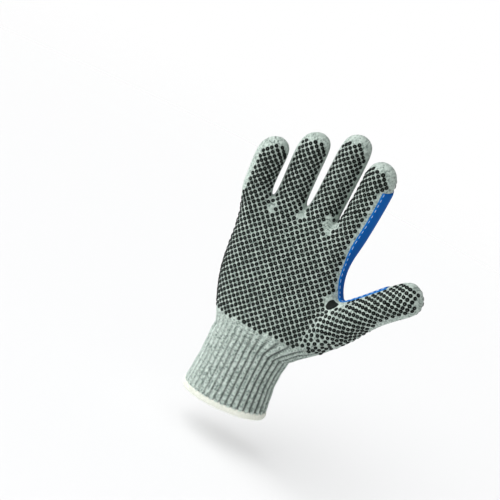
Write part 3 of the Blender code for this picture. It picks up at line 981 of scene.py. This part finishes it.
def crotchStrip():
    grid = stripGrid()
    rows, columns = grid.shape[:2]
    laid = [[nearest(p) for p in row] for row in grid]
    lift = np.array([[n for _, n in row] for row in laid])
    spots = np.array([[p for p, _ in row] for row in laid])
    for _ in range(3):
        lift[1:-1] = (lift[:-2] + 2 * lift[1:-1] + lift[2:]) / 4
    lift /= np.linalg.norm(lift, axis=2, keepdims=True)
    fromEdge = np.minimum(np.arange(columns), columns - 1 - np.arange(columns))
    away = fromEdge * stripLook["width"] / (columns - 1)
    edgeways = np.sqrt(np.clip(1 - (1 - np.clip(away / 0.0011, 0, 1)) ** 2, 0, 1))
    alongEdge = np.clip(np.minimum(np.arange(rows), rows - 1 - np.arange(rows)) / 1.5, 0, 1)
    seam = np.exp(-((away - stripLook["stitchInset"]) / 0.0005) ** 2) * 0.00022
    height = stripLook["thickness"] * edgeways[None, :] * (0.35 + 0.65 * alongEdge[:, None]) - seam[None, :]
    over = spots + lift * (height + 0.00025)[..., None]
    under = spots - lift * 0.0004
    points = np.concatenate([under.reshape(-1, 3), over.reshape(-1, 3)])
    top, faces, flatPlaces = rows * columns, [], []
    across = np.linspace(-1, 1, columns)
    lengths = np.linalg.norm(np.diff(grid[:, columns // 2], axis=0), axis=1)
    run = np.concatenate([[0], np.cumsum(lengths)]) / millimetre

    def addFace(corners):
        faces.append(tuple(corners))
        for corner in corners:
            r, c = divmod(corner % top, columns)
            flatPlaces.append((across[c], run[r]))

    for r in range(rows - 1):
        for c in range(columns - 1):
            a = r * columns + c
            addFace((a + columns, a + columns + 1, a + 1, a))
            addFace((top + a, top + a + 1, top + a + columns + 1, top + a + columns))
    edge = list(range(columns)) + [r * columns + columns - 1 for r in range(1, rows)]
    edge += [(rows - 1) * columns + c for c in range(columns - 2, -1, -1)]
    edge += [r * columns for r in range(rows - 2, 0, -1)]
    for k, a in enumerate(edge):
        b = edge[(k + 1) % len(edge)]
        addFace((a, b, b + top, a + top))
    thing = newObject("crotchStrip", points, faces, stripMaterial())
    setCornerMap(thing.data, "strip", flatPlaces)
    outward(thing.data)
    finishPiece(thing, "strip_cloth", "crotch_strip")
    return over, lift, run


def stripMaterial():
    nodes = plainMaterial("stripCloth", stripLook["blue"], 0.8, 0.0, 0.12)
    across, along = nodes.split("strip")
    side = nodes.math("ABSOLUTE", across)
    # Painted highlight: both edges of the tape are lighter blue, where its rolled edges catch the light.
    tapeWithEdgeHighlight = nodes.mix(nodes.ramp(side, 0.80, 0.95), stripLook["blue"], stripLook["edge"])
    threads = nodes.joined(nodes.math("MULTIPLY", across, 14.0), nodes.math("MULTIPLY", along, 1.8))
    weave = nodes.noise(threads, 1.0, 2.0)
    woven = nodes.math("MULTIPLY", nodes.ramp(weave, 0.3, 0.7), 0.25)
    nodes.put(nodes.shader.inputs["Base Color"], nodes.mix(woven, tapeWithEdgeHighlight, stripLook["weave"]))
    cross = nodes.math("SINE", nodes.math("MULTIPLY", along, 2 * math.pi / 0.7))
    lines = nodes.math("SINE", nodes.math("MULTIPLY", across, 42.0))
    height = nodes.math("ADD", nodes.math("MULTIPLY", cross, lines), weave)
    nodes.put(nodes.shader.inputs["Normal"], nodes.bump(height, 0.00010, 0.5))
    return nodes.material


# Short white stitches that dip into the cloth, along both edges.
def stripStitches(over, lift, run):
    points, faces = [], []
    columns = over.shape[1]
    inset = stripLook["stitchInset"] / stripLook["width"] * (columns - 1)
    total = run[-1] * millimetre
    for column in (inset, columns - 1 - inset):
        c, part = int(column), column - int(column)
        line = over[:, c] * (1 - part) + over[:, min(c + 1, columns - 1)] * part
        up = lift[:, c]
        start = stripLook["stitchPitch"] * 0.3
        while start + stripLook["stitchLength"] < total:
            spots = []
            for j in range(7):
                share = j / 6
                place = (start + stripLook["stitchLength"] * share) / millimetre
                spot = np.array([np.interp(place, run, line[:, n]) for n in range(3)])
                out = unit(np.array([np.interp(place, run, up[:, n]) for n in range(3)]))
                arch = math.sin(math.pi * share) ** 0.5
                spots.append(spot + out * (0.00042 * arch - 0.00028))
            made, more = tubeAlong(spots, [stripLook["threadRadius"]] * 7, 6)
            faces += [tuple(len(points) + k for k in face) for face in more]
            points += made
            start += stripLook["stitchPitch"] * (1 + 0.05 * random.normal())
    nodes = plainMaterial("stitchThread", stripLook["thread"], 0.6, 0.1)
    thing = newObject("stripStitches", points, faces, nodes.material)
    outward(thing.data)
    return finishPiece(thing, "hem_yarn")


stripOver, stripLift, stripRun = crotchStrip()
stripStitches(stripOver, stripLift, stripRun)
stripTree = KDTree(stripOver.shape[0] * stripOver.shape[1])
for number, spot in enumerate(stripOver.reshape(-1, 3)):
    stripTree.insert(Vector(spot), number)
stripTree.balance()


print("crotch pad")
padLook = {
    "aim": (47.4, -150.0, 31.9), "width": 0.0112, "thickness": 0.0010, "around": 48, "rings": 9,
    "colour": (0.006, 0.009, 0.0075), "roughness": 0.7, "margin": 0.0024,
}
padAim = Vector(at(*padLook["aim"]))
padCentre, padNormal = (np.array(v) for v in surface.ray_cast(padAim, Vector((0, 1, 0)))[:2])


# Rounded triangle of printed rubber, domed, with a soft rim.
def crotchPad():
    right = unit(np.cross(np.array((0, 0, 1.0)), padNormal))
    up = np.cross(padNormal, right)
    around, rings = padLook["around"], padLook["rings"]
    points, faces = [], []
    for r in range(rings):
        share = 1 - r / rings
        for k in range(around):
            a = 2 * math.pi * k / around
            reach = padLook["width"] / 2 * share * (1 + 0.10 * math.sin(3 * a)) * 0.96
            spot, lift = nearest(padCentre + (right * math.cos(a) + up * math.sin(a)) * reach)
            lift = unit(lift + 3 * padNormal)
            rise = padLook["thickness"] * (1 - share**5) ** 0.5 * (0.80 + 0.20 * (1 - share**2)) if r else 0.0
            points.append(spot + lift * (rise - (0.0003 if r == 0 else 0)))
    points.append(padCentre + padNormal * padLook["thickness"])
    for r in range(rings - 1):
        for k in range(around):
            n = (k + 1) % around
            faces.append((r * around + k, r * around + n, (r + 1) * around + n, (r + 1) * around + k))
    inner = (rings - 1) * around
    faces += [(inner + k, inner + (k + 1) % around, len(points) - 1) for k in range(around)]
    faces.append(tuple(range(around))[::-1])
    nodes = plainMaterial("padPrint", padLook["colour"], padLook["roughness"], specular=0.15)
    grain = nodes.noise(nodes.add("TexCoord").outputs["Object"], 1400.0, 2.0)
    nodes.put(nodes.shader.inputs["Normal"], nodes.bump(grain, 0.0001, 0.4))
    thing = newObject("crotchPad", points, faces, nodes.material)
    outward(thing.data)
    return finishPiece(thing, "pad_print", "crotch_pad")


crotchPad()


print("grip dots")
dotLook = {
    "pitch": 5.4,  # staggered lattice on the flat cloth, mm
    "radius": 0.00168, "height": 0.00050, "sides": 12,
    "scatter": 0.06,  # mm
    # dimpleHighlight is a painted highlight in the middle of each dot.
    "colour": (0.0015, 0.003, 0.002), "dimpleHighlight": (0.115, 0.14, 0.125), "roughness": 0.45,
}
# Where the cloth bends, crowded dots are left out, open places filled, and the rest evened.
dotSpacing = {
    "closest": 0.0031, "open": 0.00329, "thirdDot": 0.0056, "even": 0.0041, "alone": 0.0050,
    "thumbRoot": (0.060, 0, 0.108), "fillReach": 0.034, "evenReach": 0.030,
    "fillTries": 60, "evenRounds": 14,
}
# Dotted part of each finger: how far round it the print goes, to the little-finger side and to the
# thumb side, in degrees, and the height of its top in m. The thumb has its plain tip's length in mm.
dottedSpan = {
    "little": (-50, 56, 0.2120), "ring": (-56, 55, 0.2285), "middle": (-60, 57, 0.2418),
    "index": (-58, 66, 0.2325), "thumb": (-56, 64, 5.5),
}
# Plain patches at the roots of the fingers: place and reach in mm.
bareWebs = ((-33.6, -15.5, 164.6, 3.3), (-8.3, -9.1, 169.8, 3.2), (16.4, -7.5, 170.8, 3.2))


# Triangles of one region of the flat cloth, to find where a flat place lies on the glove.
def flatTriangles(region, back):
    chosen = np.where((regionOf == regionNames.index(region)) & ((flat[:, 0, 0] > backShift / 2) == back))[0]
    places = flat[chosen].copy()
    places[..., 0] -= backShift if back else 0.0
    flatPoints = np.concatenate([places.reshape(-1, 2), np.zeros((len(chosen) * 4, 1))], axis=1)
    triangles = []
    for k in range(len(chosen)):
        triangles += [(4 * k, 4 * k + 1, 4 * k + 2), (4 * k, 4 * k + 2, 4 * k + 3)]
    tree = BVHTree.FromPolygons([tuple(p) for p in flatPoints], triangles)
    return chosen, flatPoints, np.array(triangles), tree


# Point and normal of the glove at a flat place, or nothing outside the region.
def onGlove(place, chosen, flatPoints, triangles, tree):
    hit = tree.ray_cast(Vector((place[0], place[1], 5.0)), Vector((0, 0, -1)))
    if hit[2] is None:
        return None
    corners = triangles[hit[2]]
    a, b, c = (flatPoints[k][:2] for k in corners)
    whole = (b[0] - a[0]) * (c[1] - a[1]) - (c[0] - a[0]) * (b[1] - a[1])
    if abs(whole) < 1e-9:
        return None
    v = ((place[0] - a[0]) * (c[1] - a[1]) - (c[0] - a[0]) * (place[1] - a[1])) / whole
    w = ((b[0] - a[0]) * (place[1] - a[1]) - (place[0] - a[0]) * (b[1] - a[1])) / whole
    vertices = [quads[chosen[k // 4]][k % 4] for k in corners]
    share = np.array((1 - v - w, v, w))
    return share @ handPoints[vertices], unit(share @ handNormals[vertices])


def latticePlaces(low, high):
    pitch = dotLook["pitch"]
    places = []
    for i in range(int(low[0] / pitch) - 2, int(high[0] / pitch) + 3):
        for j in range(int(low[1] / pitch) - 2, int(high[1] / pitch) + 3):
            for half in (0.0, 0.5):
                places.append(((i + half) * pitch, (j + half) * pitch))
    return places


# Whether the cloth is left without print here.
def bare(point, back):
    x, y, z = point / millimetre
    if z < 71.8 + 0.10 * x:
        return True
    for wx, wy, wz, reach in bareWebs:
        away = math.hypot(x - wx, (z - wz) * 0.85) if back else math.dist((x, y, z), (wx, wy, wz))
        if away < reach:
            return True
    if np.linalg.norm(point - padCentre) < padLook["width"] / 2 + padLook["margin"] and not back:
        return True
    return stripTree.find(Vector(point))[2] < dotLook["radius"] + 0.0006


# Rough half width of the flat palm at each height, to keep a margin at the sides.
def palmSides(chosen):
    places = flat[chosen].reshape(-1, 2)
    across = places[:, 0] - (backShift if places[0, 0] > backShift / 2 else 0.0)
    levels = np.arange(56, 200, 4.0)
    low = [across[np.abs(places[:, 1] - level) < 4].min(initial=0) for level in levels]
    high = [across[np.abs(places[:, 1] - level) < 4].max(initial=0) for level in levels]
    return levels, np.array(low), np.array(high)


# Middle and radius of a finger's flat cloth, from a stretch between two depths below its tip.
def fingerRound(places, tip, nearTip, farTip):
    stretch = places[(places[:, 1] > tip - farTip) & (places[:, 1] < tip - nearTip), 0]
    return (stretch.min() + stretch.max()) / 2, (stretch.max() - stretch.min()) / math.pi


# Dots of one region: places and margins on the flat cloth are in mm, heights in m.
def regionDots(region, back):
    data = flatTriangles(region, back)
    places = data[1][:, :2]
    low, high = places.min(axis=0), places.max(axis=0)
    if region == "palm":
        levels, lefts, rights = palmSides(data[0])
    else:
        left, right, top = dottedSpan[region]
        middle, radius = fingerRound(places, high[1], *((18, 34) if region == "thumb" else (16, 40)))

    def printed(place, point, normal):
        if region == "palm":
            inLeft = place[0] >= np.interp(place[1], levels, lefts) + 3.4
            inRight = place[0] <= np.interp(place[1], levels, rights) - 2.0 or point[2] <= 0.118
            return inLeft and inRight and abs(normal[1]) >= 0.16
        turn = math.degrees((place[0] - middle) / radius)
        if region == "thumb":
            inSpan = left < turn < right or place[1] <= high[1] - 62
            return inSpan and place[1] <= high[1] - top - 0.0025 * turn * turn and abs(normal[1]) >= 0.2
        return left < turn < right and point[2] <= top - 2.4 * (turn / 40) ** 2 * millimetre

    found = []
    for across, along in latticePlaces(low, high):
        place = (across + random.normal(0, dotLook["scatter"]), along + random.normal(0, dotLook["scatter"]))
        spot = onGlove(place, *data)
        if spot is not None and printed(place, *spot) and not bare(spot[0], back):
            found.append(spot)
    return found


def treeOf(points):
    tree = KDTree(len(points))
    for k, point in enumerate(points):
        tree.insert(Vector(point), k)
    tree.balance()
    return tree


# Leaves out dots that crowd another one.
def thinned(dots):
    points = [d[0] for d in dots]
    tree = treeOf(points)
    kept = [True] * len(dots)
    for k, point in enumerate(points):
        if not kept[k]:
            continue
        for _, other, _ in tree.find_range(Vector(point), dotSpacing["closest"]):
            if other > k and kept[other]:
                kept[other] = False
    return [d for k, d in enumerate(dots) if kept[k]]


# Leaves out single dots that stand apart from the lattice.
def gathered(dots):
    tree = treeOf([d[0] for d in dots])
    return [d for d in dots if len(tree.find_range(Vector(d[0]), dotSpacing["alone"])) > 2]


# Distance from the middle of the thumb's root, seen from the front.
def fromThumbRoot(points):
    return np.linalg.norm((points - np.array(dotSpacing["thumbRoot"]))[:, (0, 2)], axis=1)


# Adds dots where the bend at the thumb's root leaves the print too open.
def filled(dots, back):
    facing = handNormals[:, 1] * (1 if back else -1) > 0.35
    near = np.where((fromThumbRoot(handPoints) < dotSpacing["fillReach"]) & facing)[0][::2]
    for _ in range(dotSpacing["fillTries"]):
        tree = treeOf([d[0] for d in dots])
        choice, farthest = None, dotSpacing["open"]
        for k in near:
            first, _, third = (hit[2] for hit in tree.find_n(Vector(handPoints[k]), 3))
            if first > farthest and third < dotSpacing["thirdDot"] and not bare(handPoints[k], back):
                choice, farthest = k, first
        if choice is None:
            break
        dots.append((handPoints[choice], handNormals[choice]))
    return dots


# Lets the dots at the thumb's root push each other apart to an even spacing.
def evened(dots):
    points = np.array([d[0] for d in dots])
    weight = np.clip(1.25 - fromThumbRoot(points) / dotSpacing["evenReach"], 0, 1)
    for _ in range(dotSpacing["evenRounds"]):
        tree = treeOf(points)
        moved = points.copy()
        for k in np.where(weight > 0)[0]:
            push = np.zeros(3)
            for _, other, away in tree.find_range(Vector(points[k]), dotSpacing["even"]):
                if other != k and away > 1e-6:
                    push += (points[k] - points[other]) / away * (dotSpacing["even"] - away)
            moved[k] = nearest(points[k] + push * 0.22 * weight[k])[0]
        points = moved
    return [(p, nearest(p)[1] if weight[k] > 0 else dots[k][1]) for k, p in enumerate(points)]


dotProfile = (  # share of the radius, share of the height
    (1.02, -0.55), (1.00, 0.30), (0.90, 0.78), (0.70, 1.00), (0.46, 0.88), (0.25, 0.52),
)


# All dots of one face of the glove in one mesh: low domes with a dimple in the middle.
def dotPiece(name, dots, material):
    sides = dotLook["sides"]
    turn = np.arange(sides) * 2 * math.pi / sides
    points, faces, shares = [], [], []
    for point, normal in dots:
        first = len(points)
        right = unit(np.cross(normal, np.array((0.13, 0.2, 0.97))))
        up = np.cross(normal, right)
        size = dotLook["radius"] * (1 + random.normal(0, 0.035))
        tall = dotLook["height"] * (1 + random.normal(0, 0.10))
        squeeze = 1 + random.normal(0, 0.03)
        for reach, rise in dotProfile:
            for a in turn:
                points.append(
                    point + (right * math.cos(a) * squeeze + up * math.sin(a) / squeeze) * size * reach
                    + normal * tall * rise
                )
        points.append(point + normal * tall * 0.42)
        for r in range(len(dotProfile) - 1):
            low, high = first + r * sides, first + (r + 1) * sides
            for k in range(sides):
                n = (k + 1) % sides
                faces.append((low + k, low + n, high + n, high + k))
                shares += [dotProfile[r][0]] * 2 + [dotProfile[r + 1][0]] * 2
        inner = first + (len(dotProfile) - 1) * sides
        for k in range(sides):
            faces.append((inner + k, inner + (k + 1) % sides, len(points) - 1))
            shares += [dotProfile[-1][0]] * 2 + [0.0]
        faces.append(tuple(first + k for k in range(sides))[::-1])
        shares += [1.0] * sides
    thing = newObject(name, points, faces, material)
    setCornerMap(thing.data, "dot", [(s, 0.5) for s in shares])
    return finishPiece(thing, "pad_print")


def dotMaterial():
    nodes = plainMaterial("dotPrint", dotLook["colour"], dotLook["roughness"], specular=0.07)
    share, _ = nodes.split("dot")
    grain = nodes.noise(nodes.add("TexCoord").outputs["Object"], 1500.0, 2.0)
    # Painted highlight: a lighter spot in each dot's dimple, broken up by the grain.
    inDimple = nodes.math("SUBTRACT", 1.0, nodes.ramp(share, 0.10, 0.46))
    highlightShare = nodes.math("MULTIPLY", inDimple, nodes.ramp(grain, 0.35, 0.6))
    nodes.put(nodes.shader.inputs["Base Color"], nodes.mix(highlightShare, dotLook["colour"], dotLook["dimpleHighlight"]))
    nodes.put(nodes.shader.inputs["Normal"], nodes.bump(grain, 0.00012, 0.5))
    return nodes.material


dotPrint = dotMaterial()
for pieceName, back in (("palmDots", False), ("backDots", True)):
    dots = []
    for region in ["palm"] + list(fingerRows) + ["thumb"]:
        dots += regionDots(region, back)
    dots = gathered(thinned(evened(filled(thinned(dots), back))))
    dotPiece(pieceName, dots, dotPrint)
    print(pieceName, len(dots))


print("floor, light and camera")
studio = {
    "floorUp": -0.0320, "floorHalf": 2.8, "floorColour": (0.97, 0.975, 0.985), "floorGlow": 0.06,
    "floorShare": 0.65, "fadeFrom": 0.05, "fadeTo": 2.7,
    "horizonColour": (1.0, 1.0, 1.0), "overheadShare": 0.33,
    "sunFrom": (-1.60, -0.95, 1.25), "sunAngle": 85.0, "sunPower": 3.4,
}


def softSun():
    lamp = bpy.data.lights.new("softSun", "SUN")
    lamp.energy, lamp.angle = studio["sunPower"], math.radians(studio["sunAngle"])
    thing = bpy.data.objects.new("softSun", lamp)
    scene.collection.objects.link(thing)
    thing.location = studio["sunFrom"]
    thing.rotation_euler = (-Vector(studio["sunFrom"])).to_track_quat("-Z", "Y").to_euler()


# Pale paper that fades into the white surround with distance, and is clear from below.
def floorPaper():
    nodes = plainMaterial("floorPaper", studio["floorColour"], 0.6, specular=0.2)
    nodes.shader.inputs["Emission Color"].default_value = (1, 1, 1, 1)
    nodes.shader.inputs["Emission Strength"].default_value = studio["floorGlow"]
    place = nodes.add("TexCoord").outputs["Object"]
    away = nodes.add("VectorMath", {0: place}, operation="LENGTH").outputs["Value"]
    near = nodes.math("SUBTRACT", 1.0, nodes.ramp(away, studio["fadeFrom"], studio["fadeTo"]))
    clear = nodes.math("SUBTRACT", 1.0, nodes.math("MULTIPLY", near, studio["floorShare"]))
    clear = nodes.math("MAXIMUM", clear, nodes.add("NewGeometry").outputs["Backfacing"])
    glass = nodes.add("BsdfTransparent").outputs[0]
    fading = nodes.add("MixShader", {0: clear, 1: nodes.shader.outputs[0], 2: glass})
    nodes.put(nodes.tree.nodes["Material Output"].inputs["Surface"], fading.outputs[0])
    return nodes.material


# White at the horizon, darker overhead.
def whiteSurround():
    world = bpy.data.worlds.new("studio")
    scene.world = world
    world.use_nodes = True
    sky, links = world.node_tree.nodes, world.node_tree.links
    ways = {kind: sky.new("ShaderNode" + kind) for kind in ("TexCoord", "SeparateXYZ", "MapRange")}
    links.new(ways["TexCoord"].outputs["Generated"], ways["SeparateXYZ"].inputs[0])
    links.new(ways["SeparateXYZ"].outputs[2], ways["MapRange"].inputs[0])
    for socket, value in ((1, 0.06), (2, 0.30), (3, 1.0), (4, studio["overheadShare"])):
        ways["MapRange"].inputs[socket].default_value = value
    links.new(ways["MapRange"].outputs[0], sky["Background"].inputs[1])
    sky["Background"].inputs[0].default_value = (*studio["horizonColour"], 1.0)


half = studio["floorHalf"]
corners = ((-half, -half), (half, -half), (half, half), (-half, half))
floorPoints = [(x, y, studio["floorUp"]) for x, y in corners]
floor = newObject("floor", floorPoints, [(0, 1, 2, 3)], floorPaper())
softSun()
whiteSurround()
scene.view_settings.view_transform = "Standard"

# The camera looks from the left and above, rolled so that the glove leans to the right.
cameraView = {
    "azimuth": 16.0, "elevation": 13.0, "roll": 27.0, "distance": 1.0, "lens": 89.0,
    "pivot": (0.015, 0.0, 0.130), "offCentre": (58.3, 22.4), "metresPerPixel": 0.000809,
}


def placeCamera():
    az, el, roll = (math.radians(cameraView[k]) for k in ("azimuth", "elevation", "roll"))
    right = np.array((math.cos(az), math.sin(az), 0))
    up = np.array((-math.sin(az) * math.sin(el), math.cos(az) * math.sin(el), math.cos(el)))
    away = np.array((math.sin(az) * math.cos(el), -math.cos(az) * math.cos(el), math.sin(el)))
    x = right * math.cos(roll) + up * math.sin(roll)
    y = up * math.cos(roll) - right * math.sin(roll)
    aside, above = (pixels * cameraView["metresPerPixel"] for pixels in cameraView["offCentre"])
    centre = np.array(cameraView["pivot"]) - x * aside + y * above
    camera = bpy.data.objects.new("camera", bpy.data.cameras.new("camera"))
    scene.collection.objects.link(camera)
    camera.data.lens = cameraView["lens"]
    camera.data.clip_start, camera.data.clip_end = 0.05, 50
    place = centre + away * cameraView["distance"]
    camera.matrix_world = Matrix([[*row] for row in np.column_stack([x, y, away, place])] + [[0, 0, 0, 1]])
    scene.camera = camera


placeCamera()
